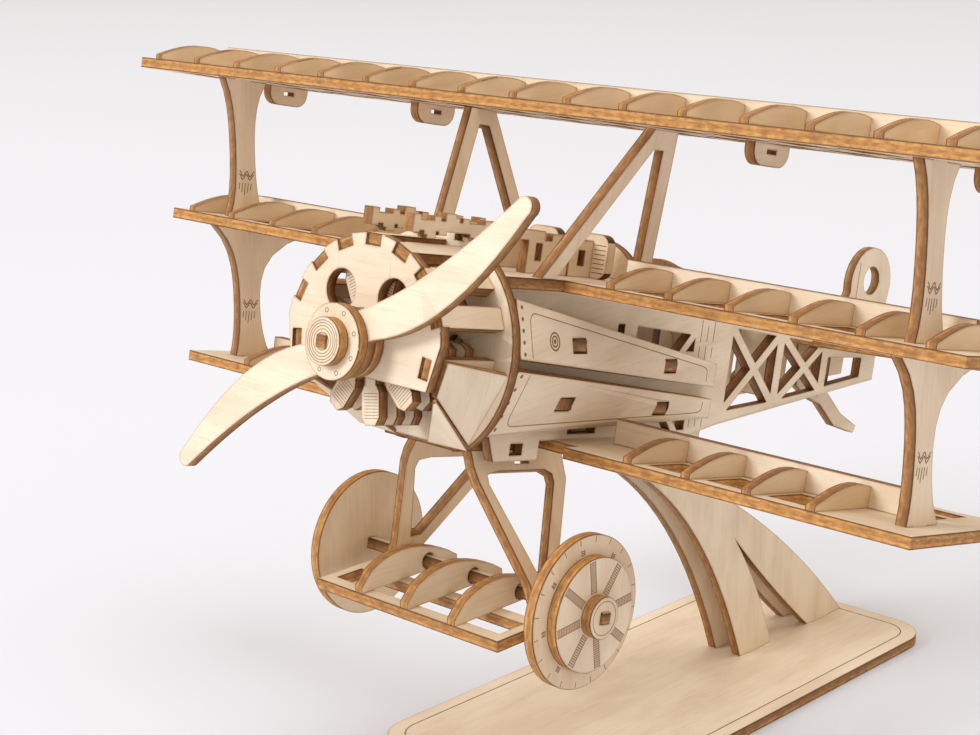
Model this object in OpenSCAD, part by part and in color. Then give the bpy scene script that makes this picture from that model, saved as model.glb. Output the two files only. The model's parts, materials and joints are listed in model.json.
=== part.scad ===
// Laser-cut plywood model of a rotary-engined fighter triplane on a curved display stand.
// Everything is cut from one sheet thickness and slotted together.
// The model stands on z = 0 with its nose towards -Y and its port wings towards +X.
// Aeroplane parts are drawn level, with the front of the cowl plate at the origin,
// and airframe() then pitches them nose-up and lifts them onto the stand.

/* [Sheet] */
// Thickness of the plywood sheet
ply = 3; // [2.8:0.1:3]
// Slack on each side of a tab in its slot
fit = 0.05; // [0.02:0.01:0.08]
// Radial slack of a turning shaft in its bore
bore_fit = 0.1; // [0.08:0.01:0.12]

/* [Attitude] */
// Nose-up angle of the aeroplane on its stand
pitch = 11.5; // [9:0.5:13]
// Height of the crankshaft above the table
thrust_h = 128; // [126:1:134]

/* [Nose] */
// Radius of the cowl's front plate
cowl_r = 26.3; // [26:0.1:27]
// Length of the cowl between its front plate and the firewall
cowl_len = 19; // [19:0.5:20]
// Radius of the firewall ring
firewall_r = 29; // [28.8:0.1:30]
// Radius of the engine over its cylinder heads
engine_r = 19.9; // [19:0.1:20]
// Number of engine cylinders
cylinders = 9; // [7:1:9]
// Radius swept by the propeller
prop_r = 66; // [62:1:70]
// Radius of the flange that clamps the propeller
flange_r = 9.2; // [8:0.1:10]
// Diameter of the crankshaft
shaft_d = 4; // [3.6:0.1:4]

/* [Wings] */
// Chord of each wing
chord = 50; // [48:1:52]
// Spacing of the wing ribs
rib_pitch = 17.75; // [17:0.25:18]
// Half span of the top wing
top_half = 150; // [147:1:154]
// Half span of the middle wing
mid_half = 133; // [131:1:136]
// Half span of the lower wing
low_half = 124; // [122:1:127]
// Height of the ribs above the wing plate
rib_h = 6; // [5:0.25:6.5]

/* [Landing gear] */
// Radius of a wheel
wheel_r = 19.7; // [18:0.1:20]
// Distance from the centre line to a wheel's inner face
wheel_x = 36.5; // [35:0.5:38]

/* [Stand] */
// Width of the stand's base plate
base_w = 74; // [64:1:90]
// Length of the stand's base plate
base_len = 174; // [172:1:180]

/* [Hidden] */

$fn = 64;
eps = 0.01;
wood_face = "#e8d3ac";
wood_dark = "#c79a5e";
wood_edge = "#a4713f";

// Where the cowl plate's front centre stands in the model's own frame
nose_y = -109.95;

// Stack on the crankshaft, from the cowl plate forwards
stack_gap = 0.4;
square_d = 3;
backing_y = -stack_gap - ply;
prop_y = backing_y - ply;
flange_y = prop_y - ply;
cap_y = flange_y - ply;
cap_r = 5.8;
shaft_nose = 0.6;
backing_r = 8.4;
bore_r = shaft_d / 2 + bore_fit;

// Engine, behind the cowl plate
engine_y = ply + 0.5;
star_step = 2 * ply;
engine_turn = -80;
crankcase_r = 7.6;
cyl_w = 6;
cyl_neck_w = 3.6;

// Cowl
firewall_y = ply + cowl_len;
firewall_cut = 23;
slat_recess = 0.8;
panel_y = firewall_y + ply;
chord_z = -8;
slat_step = 22.5;
slat_w = 5.6;
slat_tab_w = 5;
low_slot_r = 22.2;
low_slot_angle = -7;
cooling_r = 5;
cooling_x = 8.9;
cooling_z = 11.6;

// Fuselage
side_x0 = 14.5;
side_turn = 3;
side_len = 197;
deck_z = 17;
deck_top = deck_z + ply;
deck_half = 21;
deck_end = 108;
cockpit_y0 = 88;
cockpit_y1 = 103;
cockpit_half = 9;

// Wings: leading edge, underside of the plate and rib length
top_le = 42;
mid_le = 47;
low_le = 52;
top_z = 60;
mid_z = 17;
low_z = -24.5;
front_rib = 22.5;
rib_front_h = 1.4;
rib_rear_h = 5;
spar_h = 6.6;
te_h = 0.9;
low_root = 24;
low_root_step = 6;
scallop = 2;
wing_tip_w = 14;
strut_x = 6.5 * rib_pitch;
tab_w = 6;

// Guns
gun_in = 4;

// Landing gear
axle_y = 50.5;
axle_z = -60;
axle_d = 3;
axle_bore_r = axle_d / sqrt(2) + 0.08;
gear_top_x = 9;
gear_foot_x = 25;
gear_lean = atan((gear_foot_x - gear_top_x) / (low_z - axle_z));
spoke_r = wheel_r * 0.745;
hub_r = wheel_r * 0.275;
axle_half = wheel_x + 3 * ply + 0.7;
aw_half = 32;
aw_front = -24;
aw_rear = 11;
aw_top = -2.6;
aw_bar = 4;
aw_end = 3;

// Tail
tail_y0 = 182;
tail_z = 4;

// Stand: plates, their half-lap with the saddle former, and the base
stand_x = 4.5;
saddle_y = 118;
saddle_z0 = -20;
saddle_lap = 7;
head_top = saddle_z0 + 2 * saddle_lap;
base_y0 = -74;
foot_tabs = [45, 80];
foot_tab_w = 8;

// ---------- placing and cutting helpers ----------

// Aeroplane frame to model frame
module airframe() {
    translate([0, nose_y, thrust_h]) rotate([-pitch, 0, 0]) children();
}

// Sheet lying flat, its underside at height z
module flat(z, th = ply) {
    translate([0, 0, z]) linear_extrude(th) children();
}

// Sheet standing across the model from y backwards, outline drawn in (x, z)
module across(y, th = ply) {
    translate([0, y + th, 0]) rotate([90, 0, 0]) linear_extrude(th) children();
}

// Sheet standing along the model from x outwards, outline drawn in (y, z)
module along(x, th = ply) {
    translate([x, 0, 0]) rotate([90, 0, 90]) linear_extrude(th) children();
}

// Port copy as drawn, starboard copy mirrored
module both() {
    children();
    mirror([1, 0, 0]) children();
}

// Straight bar with round ends
module strip(a, b, w) {
    run = b - a;
    translate(a) rotate(atan2(run[1], run[0])) translate([0, -w / 2]) square([norm(run), w]);
    translate(a) circle(d = w);
    translate(b) circle(d = w);
}

// Straight bar with square ends
module bar(a, b, w) {
    run = b - a;
    translate(a) rotate(atan2(run[1], run[0])) translate([0, -w / 2]) square([norm(run), w]);
}

// Rectangle about its centre
module box2(w, h) {
    square([w, h], center = true);
}

// Rectangle with round corners, from its lower left corner
module round_rect(w, h, r) {
    translate([r, 0]) square([w - 2 * r, h]);
    translate([0, r]) square([w, h - 2 * r]);
    for (x = [r, w - r], y = [r, h - r]) translate([x, y]) circle(r);
}

// ---------- nose ----------

module square_hole() {
    box2(square_d + 2 * fit, square_d + 2 * fit);
}

module turned_disc(y, r) {
    across(y) difference() {
        circle(r);
        square_hole();
    }
}

module hub_cap() {
    color(wood_dark) airframe() turned_disc(cap_y, cap_r);
}

module propeller_flange() {
    color(wood_face) airframe() turned_disc(flange_y, flange_r);
}

module propeller_backing_disc() {
    color(wood_dark) airframe() turned_disc(backing_y, backing_r);
}

// Curved blade outline, leading edge out to the tip and back along the trailing edge
function blade_lead(u) = [prop_r * (0.06 + 0.72 * u), prop_r * (0.115 + 0.23 * u + 0.22 * pow(u, 1.8))];
function blade_trail(u) = [prop_r * (0.1 + 0.72 * u), prop_r * (0.015 + 0.06 * u + 0.43 * pow(u, 2.1))];
blade_steps = 12;
hub_edge = flange_r - 0.6;
prop_turn = 3;

// Half of the outline: one blade, then the hub's rim round to the other blade's root
function half_propeller() = let (
    lead = [for (i = [0:blade_steps]) blade_lead(i / blade_steps)],
    trail = [for (i = [blade_steps:-1:1]) blade_trail(i / blade_steps)],
    tip_mid = (lead[blade_steps] + trail[0]) / 2,
    spoke = lead[blade_steps] - tip_mid,
    turn = atan2(spoke[1], spoke[0]))
    concat(lead,
        [for (a = [20:20:160]) tip_mid + norm(spoke) * [cos(turn - a), sin(turn - a)]],
        trail,
        [for (a = [4:-12:-100]) hub_edge * [cos(a), sin(a)]]);

module propeller() {
    color(wood_face) airframe() across(prop_y) difference() {
        rotate(prop_turn) polygon(concat(half_propeller(), -half_propeller()));
        square_hole();
    }
}

module crankshaft() {
    color(wood_edge) airframe() {
        translate([-square_d / 2, cap_y - shaft_nose, -square_d / 2])
            cube([square_d, -cap_y + shaft_nose - stack_gap, square_d]);
        translate([0, -stack_gap, 0]) rotate([-90, 0, 0])
            cylinder(d = shaft_d, h = panel_y + 2 * stack_gap);
    }
}

// Radial slice of the engine: crankcase disc with a tapered cylinder at each station
module star_outline() {
    neck_r = crankcase_r + 2.6;
    shoulder_r = engine_r - 2;
    circle(crankcase_r);
    for (i = [0:cylinders - 1]) rotate(engine_turn + i * 360 / cylinders) {
        translate([crankcase_r - 1, -cyl_neck_w / 2]) square([neck_r - crankcase_r + 1.2, cyl_neck_w]);
        polygon([[neck_r, -cyl_neck_w / 2 - 0.3], [neck_r + 1.6, -cyl_w / 2], [shoulder_r, -cyl_w / 2],
            [engine_r, -cyl_w / 3.4], [engine_r, cyl_w / 3.4], [shoulder_r, cyl_w / 2],
            [neck_r + 1.6, cyl_w / 2], [neck_r, cyl_neck_w / 2 + 0.3]]);
    }
}

module engine_star(row) {
    color(wood_dark) airframe() across(engine_y + row * star_step) difference() {
        star_outline();
        circle(shaft_d / 2);
    }
}

module engine_star_front() { engine_star(0); }
module engine_star_middle() { engine_star(1); }
module engine_star_rear() { engine_star(2); }

module crankcase_discs() {
    color(wood_edge) airframe() for (row = [0, 1])
        across(engine_y + row * star_step + ply) difference() {
            circle(crankcase_r);
            circle(shaft_d / 2);
        }
}

// ---------- cowl ----------

module slat_places() {
    for (k = [-3:3]) rotate(90 + k * slat_step) translate([cowl_r - ply / 2, 0]) children();
    for (s = [0, 1]) mirror([s, 0]) rotate(low_slot_angle) translate([low_slot_r, 0]) children();
}

module cowl_front_plate() {
    side_z = 4;
    foot_x = 23.4;
    color(wood_face) airframe() across(0) difference() {
        intersection() {
            circle(cowl_r);
            polygon([[-cowl_r, side_z], [-foot_x, chord_z], [foot_x, chord_z], [cowl_r, side_z],
                [cowl_r, cowl_r + 1], [-cowl_r, cowl_r + 1]]);
        }
        slat_places() box2(ply + 2 * fit, slat_tab_w + 2 * fit);
        for (s = [-1, 1]) translate([s * cooling_x, cooling_z]) circle(cooling_r);
        circle(bore_r);
    }
}

// Each slat is a strip with a narrower tab at both ends
module cowl_slats() {
    color(wood_face) airframe() {
        across(ply, cowl_len) slat_places() box2(ply, slat_w);
        across(slat_recess, ply - slat_recess) slat_places() box2(ply, slat_tab_w);
        across(firewall_y) slat_places() box2(ply, slat_tab_w);
    }
}

module firewall() {
    notch_h = 4;
    color(wood_face) airframe() across(firewall_y) difference() {
        circle(firewall_r);
        translate([-firewall_r, -firewall_r]) square([2 * firewall_r, firewall_r - firewall_cut]);
        slat_places() box2(ply + 2 * fit, slat_tab_w + 2 * fit);
        for (s = [-1, 1]) translate([s * (gun_in + ply), cowl_r + 0.3 + notch_h / 2])
            box2(ply + 4 * fit, notch_h);
        for (s = [-1, 1]) translate([s * 10, 1]) circle(3);
        circle(bore_r);
    }
}

// Flat skin between two edges, one at y0 and one at y1, each edge drawn in (x, z)
module skin(edge0, edge1, y0, y1) {
    hull() {
        across(y0, eps) polygon(edge0);
        across(y1 - eps, eps) polygon(edge1);
    }
}

// Strip of sheet in from the line p to q, towards the centre line
function strip_in(p, q, th) = let (d = (q - p) / norm(q - p), n = [-d[1], d[0]] * th)
    (norm(p + n) < norm(p)) ? [p, q, q + n, p + n] : [p, q, q - n, p - n];

cheek_th = 1.6;
chin_th = 0.9;
module cheek() {
    color(wood_face) airframe()
        skin(strip_in([26.4, -0.5], [24.2, -9], cheek_th), strip_in([28.7, -3], [19, -21.7], cheek_th),
            ply, firewall_y);
}

module cowl_cheek_port() { cheek(); }
module cowl_cheek_starboard() { mirror([1, 0, 0]) cheek(); }

// Triangular facet under each cheek
module cowl_chin_panels() {
    color(wood_face) airframe() both()
        skin(strip_in([23.9, -10.3], [22.9, -10.7], chin_th), strip_in([18.9, -23.1], [5.5, -23.4], chin_th),
            ply + 0.6, firewall_y);
}

// ---------- fuselage ----------

skin_th = 2.2;
panel_end = 124;

// Front and rear edges of the skin panels, each from top to bottom
upper_front = [[25.2, 15.2], [29.2, 1.2]];
upper_rear = [[16, -0.8], [15.8, -7.4]];
lower_front = [[29.1, -1.8], [21.8, -18.8]];
lower_rear = [[15.8, -10.8], [15.6, -16.2]];

// Tabs that carry the panels: distance from the nose and height
upper_tabs = [[52, 4.2], [98, -1.2]];
lower_tabs = [[51, -10.8], [97, -12.8]];
panel_tab_w = 5.6;

// Outer face of a skin panel at (y, z)
function panel_x(front, rear, y, z) = let (
    u = (y - panel_y) / (panel_end - panel_y),
    top = front[0] * (1 - u) + rear[0] * u,
    low = front[1] * (1 - u) + rear[1] * u)
    top[0] + (low[0] - top[0]) * (top[1] - z) / (top[1] - low[1]);

// Outer face of the fuselage side at y
function side_x(y) = side_x0 + ply / cos(side_turn) - tan(side_turn) * (y - panel_y);

module tab_box(place, x0, x1, slack) {
    translate([x0, place[0] - panel_tab_w / 2 - slack, place[1] - ply / 2 - slack])
        cube([x1 - x0, panel_tab_w + 2 * slack, ply + 2 * slack]);
}

module side_panel(front, rear, tabs) {
    color(wood_face) airframe() difference() {
        skin(strip_in(front[0], front[1], skin_th), strip_in(rear[0], rear[1], skin_th),
            panel_y, panel_end);
        for (t = tabs) tab_box(t, 0, 60, 0.4);
    }
}

module upper_panel() { side_panel(upper_front, upper_rear, upper_tabs); }
module lower_panel() { side_panel(lower_front, lower_rear, lower_tabs); }

module upper_side_panel_port() { upper_panel(); }
module upper_side_panel_starboard() { mirror([1, 0, 0]) upper_panel(); }
module lower_side_panel_port() { lower_panel(); }
module lower_side_panel_starboard() { mirror([1, 0, 0]) lower_panel(); }

// Side truss outline in (distance behind the firewall, z)
module side_outline() {
    deck_run = deck_end - panel_y;
    tail_run = tail_y0 - panel_y - 1;
    polygon([[0, deck_z], [deck_run, deck_z], [deck_run + 5, 12], [108, 12], [tail_run, 8],
        [tail_run, tail_z], [side_len, tail_z], [side_len, -6], [108, -19], [96, -21.5],
        [26.6, low_z + ply], [26.6, -26.5], [9, -26.5], [6, -20], [0, -20]]);
}

// Truss window between two stations behind the firewall: low and high z at each
module window(y0, y1, z0a, z1a, z0b, z1b) {
    polygon([[y0, z0a], [y1, z0b], [y1, z1b], [y0, z1a]]);
}

module side_windows() {
    difference() {
        window(63, 91.5, 2, 8.6, 2, 6.6);
        bar([79, -5], [93, 9], 2.6);
    }
    window(4, 24, 4, 12, 4, 12);
    window(54, 57, 5.5, 9, 5.5, 9);
    for (y = [38, 60]) window(y, y + 12, -20, -17.6, -20, -17.6);
    difference() {
        window(76, 92, -20, -16.8, -20, -16.8);
        bar([82, -15], [89, -22], 2.4);
    }
    difference() {
        window(111, 136, -15, 9, -12.5, 7);
        bar([108, -17], [139, 9], 3);
        bar([108, 11], [139, -14.5], 3);
    }
    difference() {
        window(140, 163, -12, 6.8, -9, 5);
        bar([137, -14], [166, 6.5], 2.8);
        bar([137, 8.5], [166, -10.5], 2.8);
    }
    window(167, 188, -8, 1, -5, 1);
    window(15, 20, -25, -22, -25, -22);
}

module fuselage_side() {
    color(wood_dark) airframe() translate([side_x0, panel_y, 0]) rotate([0, 0, side_turn])
        along(0) difference() {
            side_outline();
            side_windows();
            for (t = concat(upper_tabs, lower_tabs)) translate([t[0] - panel_y, t[1]])
                box2(panel_tab_w + 4 * fit, ply + 4 * fit);
        }
}

module fuselage_side_port() { fuselage_side(); }
module fuselage_side_starboard() { mirror([1, 0, 0]) fuselage_side(); }

// Inner half width of the fuselage at the back of a former that stands at y
function inner_half(y) = side_x0 - tan(side_turn) * (y + ply - panel_y) - fit;

module former(y, z0, z1) {
    half = inner_half(y);
    across(y) difference() {
        translate([-half, z0]) square([2 * half, z1 - z0]);
        if (half > 7) translate([-half + 3.5, z0 + 4]) square([2 * half - 7, z1 - z0 - 8]);
    }
}

module fuselage_formers() {
    color(wood_dark) airframe() {
        former(46, low_z + ply, deck_z);
        former(66, low_z + ply, deck_z);
        former(136, -16.5, 10);
        former(166, -12, 7);
        former(196, -8, tail_z);
        saddle();
        panel_tabs(upper_front, upper_rear, upper_tabs);
        panel_tabs(lower_front, lower_rear, lower_tabs);
    }
}

// Tabs through the fuselage sides, each ending just proud of its skin panel
module panel_tabs(front, rear, tabs) {
    proud = 0.3;
    root = 5;
    both() for (t = tabs)
        tab_box(t, side_x(t[0]) - root, panel_x(front, rear, t[0], t[1]) + proud, 0);
}

// Former that straddles the head of the stand, half-lapped with its two plates
module saddle() {
    half = inner_half(saddle_y);
    across(saddle_y) difference() {
        translate([-half, saddle_z0]) square([2 * half, 29]);
        for (s = [-1, 1]) translate([s * stand_x, saddle_z0])
            box2(ply + 2 * fit, 2 * saddle_lap);
        translate([0, 3]) circle(4);
    }
}

// Flat deck over the nose bay, open at the cockpit
module cockpit_deck() {
    color(wood_face) airframe() flat(deck_z) difference() {
        union() {
            translate([-deck_half, panel_y]) square([2 * deck_half, 75]);
            translate([-15, panel_y]) square([30, deck_end - panel_y]);
        }
        translate([-cockpit_half, cockpit_y0]) round_rect(2 * cockpit_half, cockpit_y1 - cockpit_y0, 3);
    }
}

// Panel in front of the pilot, with two round instrument holes
module instrument_panel() {
    half = inner_half(84);
    brow = 13;
    color(wood_face) airframe() {
        across(84) difference() {
            translate([-half, 0]) square([2 * half, deck_z]);
            for (s = [-1, 1]) translate([s * 5, 9]) circle(2.6);
        }
        across(84) difference() {
            intersection() {
                translate([0, deck_top - 6]) circle(brow + 3);
                translate([-brow, deck_top]) square([2 * brow, 10]);
            }
            translate([0, deck_top - 1]) circle(4);
        }
    }
}

module seat() {
    half = inner_half(101) - 0.5;
    color(wood_dark) airframe() {
        translate([0, 90, 0]) flat(-6) translate([-half, 0]) square([2 * half, 11]);
        across(101) translate([-half, -6]) round_rect(2 * half, 20, 3);
    }
}

// Raised spine behind the cockpit: three arches carry seven stringers
arch_y = [110, 140, 170];
arch_top = [26, 20, 14];
arch_low = [12, 10.4, 8.2];

module turtledeck() {
    color(wood_face) airframe() {
        for (i = [0:2]) across(arch_y[i]) {
            half = inner_half(arch_y[i]);
            difference() {
                intersection() {
                    translate([-half, arch_low[i]]) square([2 * half, arch_top[i] - arch_low[i]]);
                    translate([0, arch_low[i] - 1]) circle(arch_top[i] - arch_low[i] + 1);
                }
                translate([0, arch_low[i] - 1]) circle((arch_top[i] - arch_low[i]) * 0.55);
            }
        }
        for (i = [0:1], x = [-1, 0, 1]) {
            y0 = arch_y[i] + ply;
            y1 = arch_y[i + 1];
            h0 = arch_top[i] - abs(x) * 2.2;
            h1 = arch_top[i + 1] - abs(x) * 1.6;
            along(x * 4.4 - 1, 2) polygon([[y0, h0 - 3], [y1, h1 - 3], [y1, h1], [y0, h0]]);
        }
    }
}

module belly_plate() {
    half = side_x0 - 2;
    color(wood_dark) airframe() flat(low_z) difference() {
        translate([-half, panel_y]) square([2 * half, low_le - panel_y]);
        translate([-4, 32]) square([8, 12]);
    }
}

// ---------- guns ----------

// Side of a barrel sheet: muzzle ring, jacket with small teeth on both edges, and the foot on the deck
module gun_outline() {
    barrel_z = 28.4;
    barrel_h = 2.6;
    difference() {
        union() {
            translate([4, barrel_z - 0.6]) square([2.4, 4.4]);
            translate([6, barrel_z]) square([46, barrel_h]);
            for (y = [11, 17.5, 21, 29, 33.5, 42])
                translate([y, barrel_z + barrel_h - eps]) square([2.4, 1.1]);
            for (y = [8, 13, 24, 31.5, 36]) translate([y, barrel_z - 0.9]) square([2.8, 1]);
            translate([15, barrel_z + barrel_h - eps]) square([3.6, 2]);
            translate([46, deck_top]) square([16, 10.4]);
            translate([9, cowl_r + 0.3]) square([3, 3]);
        }
        translate([49, deck_top + 3.4]) square([2.4, 4.4]);
        translate([52, deck_top + 8.6]) square([3, 3]);
    }
}

// Side of the breech block, with the loading slot
module breech_outline() {
    difference() {
        translate([62, deck_top]) square([breech_y - 62, 9.6]);
        translate([65.4, deck_top + 3]) square([2.6, 4]);
    }
}

// One sheet makes the barrel, two the breech, and a wider rounded cross plate closes it
breech_y = 71;
breech_plate_w = 11;
breech_in = gun_in - 1;
breech_sheets = 2;
module gun() {
    color(wood_dark) airframe() {
        along(gun_in + ply / 2) gun_outline();
        for (i = [0:breech_sheets - 1]) along(breech_in + i * ply) breech_outline();
        across(breech_y) translate([breech_in, deck_top]) round_rect(breech_plate_w, 11.6, 3);
    }
}

module gun_port() { gun(); }
module gun_starboard() { mirror([1, 0, 0]) gun(); }

// ---------- struts ----------

cabane_foot_x = 17.6;
cabane_top_x = 29.6;
cabane_w = 4.4;
cabane_lean = atan((cabane_top_x - cabane_foot_x) / (top_z - deck_top));

// Middle of the front and of the rear leg where they meet the deck and the wing
cabane_front = [40.7, 61.9];
cabane_rear = [78.8, 66.9];
cabane_apex = 4.5;

// Point on a leg's edge at height z up the plate, side -1 forward or 1 aft of its middle
function cabane_leg(leg, z, side, run) = let (lean = (leg[1] - leg[0]) / run)
    [leg[0] + lean * z + side * cabane_w / 2 * sqrt(1 + lean * lean), z];

// Leaning V plate between deck and top wing, trimmed level at both ends
module cabane_strut() {
    run = (top_z - deck_top) / cos(cabane_lean);
    over = 5;
    apex = run - cabane_apex;
    color(wood_face) airframe() intersection() {
        translate([cabane_foot_x, 0, deck_top]) rotate([0, cabane_lean, 0]) along(0) polygon([
            cabane_leg(cabane_front, -over, -1, run), cabane_leg(cabane_front, run + over, -1, run),
            cabane_leg(cabane_rear, run + over, 1, run), cabane_leg(cabane_rear, -over, 1, run),
            cabane_leg(cabane_rear, -over, -1, run), cabane_leg(cabane_rear, apex, -1, run),
            cabane_leg(cabane_front, apex, 1, run), cabane_leg(cabane_front, -over, 1, run)]);
        translate([0, 20, deck_top]) cube([60, 80, top_z - deck_top]);
    }
}

module cabane_strut_port() { cabane_strut(); }
module cabane_strut_starboard() { mirror([1, 0, 0]) cabane_strut(); }

// Middle of an interplane strut at height z
function strut_mid(z) = 63.5 - 0.2 * z;

// Upright between two heights, flared at each end: forward and aft reach at the bottom, waist and top
module waist(z0, fore0, aft0, z1, fore1, aft1, half) {
    n = 10;
    function reach(u, low, high) = half + (low - half) * pow(1 - u, 6) + (high - half) * pow(u, 6);
    function edge(u, side, low, high) = let (z = z0 + (z1 - z0) * u)
        [strut_mid(z) + side * reach(u, low, high), z];
    polygon(concat([for (i = [0:n]) edge(i / n, 1, aft0, aft1)],
        [for (i = [n:-1:0]) edge(i / n, -1, fore0, fore1)]));
}

// One plate from the middle wing to the top wing, one from the lower wing to the middle wing
module interplane_strut() {
    z0 = low_z + ply;
    z1 = mid_z + ply;
    color(wood_face) airframe() along(strut_x - ply / 2) {
        waist(z0, 6, 8, mid_z, 12, 26, 3.8);
        waist(z1, 6.5, 6.5, top_z, 7, 9, 3.6);
        for (z = [z1, z0]) translate([strut_mid(z) - tab_w / 2, z - ply]) square([tab_w, ply + eps]);
        translate([strut_mid(top_z) - tab_w / 2, top_z - eps]) square([tab_w, ply]);
    }
}

module interplane_strut_port() { interplane_strut(); }
module interplane_strut_starboard() { mirror([1, 0, 0]) interplane_strut(); }

// ---------- wings ----------

module wing_tab_slot(y) {
    translate([strut_x, y]) box2(ply + 2 * fit, tab_w + 2 * fit);
}

// Half of a wing plate in (x, y) from the leading edge: windows between ribs and scalloped back
module wing_half(x0, half, first_rib) {
    wall = 1.6;
    tip_w = wing_tip_w;
    bays = floor((half - first_rib) / rib_pitch);
    scallop_r = (rib_pitch * rib_pitch / 4 + scallop * scallop) / (2 * scallop);
    difference() {
        union() {
            translate([x0, 0]) square([half - x0 - tip_w, chord]);
            translate([half - tip_w - eps, 0]) difference() {
                square([tip_w, chord - 6]);
                translate([tip_w, 0]) rotate(58) translate([0, -20]) square([40, 20]);
            }
            translate([half - tip_w, chord - 12]) circle(12);
        }
        for (i = [0:bays - 1]) translate([first_rib + i * rib_pitch, 0]) {
            if (first_rib + i * rib_pitch > strut_x || first_rib + (i + 1) * rib_pitch < strut_x)
                translate([wall + 1, 5]) square([rib_pitch - 2 * wall - 2, front_rib - 8]);
            translate([wall + 1, front_rib + ply + 2]) square([rib_pitch - 2 * wall - 2, 8]);
            translate([wall + 1, front_rib + ply + 13]) square([rib_pitch - 2 * wall - 2, 6]);
            translate([rib_pitch / 2, chord + scallop_r - scallop]) circle(scallop_r);
        }
    }
}

module rib_front() {
    n = 8;
    polygon(concat([[0, 0], [0, rib_front_h]],
        [for (i = [1:n]) [front_rib * i / n,
            rib_front_h + (rib_h - rib_front_h) * sin(115 * i / n) - 0.3 * pow(i / n, 3)]],
        [[front_rib, 0]]));
}

module rib_rear() {
    n = 5;
    len = chord - front_rib - ply - 2;
    polygon(concat([[0, 0]],
        [for (i = [0:n]) [len * i / n, te_h + (rib_rear_h - te_h) * (1 - pow(i / n, 1.3))]],
        [[len, 0]]));
}

module rib_set(le, z, xs) {
    for (x = xs) along(x - ply / 2) {
        translate([le, z + ply]) rib_front();
        translate([le + front_rib + ply, z + ply]) rib_rear();
    }
}

// Rib stations from the first outwards; a strut takes the place of a rib that would stand where it does
function rib_xs(first, half) = [for (x = [first:rib_pitch:half - 8]) if (abs(x - strut_x) > ply) x];

mid_first = 2 * rib_pitch;
low_first = 2.5 * rib_pitch;

module top_wing_plate() {
    color(wood_face) airframe() flat(top_z) translate([0, top_le]) difference() {
        both() wing_half(-eps, top_half, 0);
        both() translate([0, -top_le]) wing_tab_slot(strut_mid(top_z));
    }
}

module top_wing_spar() {
    color(wood_face) airframe() across(top_le + front_rib)
        translate([-top_half + 12, top_z + ply]) square([2 * top_half - 24, spar_h]);
}

module top_wing_ribs() {
    xs = rib_xs(rib_pitch, top_half);
    color(wood_dark) airframe() {
        rib_set(top_le, top_z, [0]);
        both() rib_set(top_le, top_z, xs);
    }
}

module mid_wing_plate() {
    color(wood_face) airframe() flat(mid_z) translate([0, mid_le]) difference() {
        wing_half(deck_half, mid_half, mid_first);
        translate([0, -mid_le]) wing_tab_slot(strut_mid(mid_z + ply));
    }
}

module mid_wing_plate_port() { mid_wing_plate(); }
module mid_wing_plate_starboard() { mirror([1, 0, 0]) mid_wing_plate(); }

module mid_wing_spars() {
    color(wood_face) airframe() both() across(mid_le + front_rib)
        translate([deck_half + 1, mid_z + ply]) square([mid_half - deck_half - 12, spar_h]);
}

module mid_wing_ribs_port() {
    color(wood_dark) airframe() rib_set(mid_le, mid_z, rib_xs(mid_first, mid_half));
}

module mid_wing_ribs_starboard() {
    color(wood_dark) airframe() mirror([1, 0, 0])
        rib_set(mid_le, mid_z, rib_xs(mid_first, mid_half));
}

module lower_wing_plate() {
    color(wood_face) airframe() flat(low_z) translate([0, low_le]) difference() {
        both() wing_half(-eps, low_half, low_first);
        translate([-low_root, -eps]) square([2 * low_root, low_root_step]);
        both() translate([0, -low_le]) wing_tab_slot(strut_mid(low_z + ply));
    }
}

module lower_wing_spar() {
    half = low_half - 12;
    color(wood_face) airframe() both() across(low_le + front_rib)
        translate([22, low_z + ply]) square([half - 22, spar_h]);
}

module lower_wing_ribs() {
    color(wood_dark) airframe() both() rib_set(low_le, low_z, rib_xs(low_first, low_half));
}

// Small rounded plates that hang under the top wing
module top_wing_tabs() {
    tab_len = 15;
    tab_y = 65.5;
    tab_drop = 5.6;
    color(wood_face) airframe() both() for (x = [57, 119]) along(x - ply / 2) difference() {
        translate([tab_y, top_z - tab_drop]) round_rect(tab_len, 2 * tab_drop, 4);
        translate([tab_y - eps, top_z]) square([tab_len + 2 * eps, 2 * tab_drop]);
        translate([tab_y + tab_len / 2 - 2, top_z - 2.6]) square([4, 1.1]);
    }
}

// ---------- tail ----------

module tailplane() {
    color(wood_face) airframe() flat(tail_z) difference() {
        polygon([[0, tail_y0], [8, 184], [46, 206], [50, 214], [50, 222], [42, 230], [6, 226],
            [-6, 226], [-42, 230], [-50, 222], [-50, 214], [-46, 206], [-8, 184]]);
        both() for (x = [12, 24]) polygon([[x, 194 + (x - 8) * 0.58], [x + 8, 194 + x * 0.58],
            [x + 8, 209], [x, 209]]);
        both() for (x = [12, 24, 36]) translate([x, 215]) square([8, 7]);
    }
}

module rudder() {
    top = [for (a = [195:-15:-15]) [222 + 11.6 * cos(a), 24 + 11.6 * sin(a)]];
    color(wood_face) airframe() along(-ply / 2) difference() {
        polygon(concat([[206, tail_z + ply], [208, 15]], top, [[232, 12], [228, tail_z + ply]]));
        translate([222, 25]) circle(4.5);
        translate([216, 12]) square([10, 5]);
    }
}

module tail_skid() {
    color(wood_edge) airframe() along(-ply / 2) difference() {
        polygon([[188, -4], [196, -4], [196, -8], [200, -8], [206, -11], [216, -18], [226, -22],
            [225, -24.4], [213, -22], [203, -15], [196, -13], [188, -9]]);
        translate([200, -11.4]) circle(0.9);
    }
}

// ---------- landing gear ----------

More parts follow.
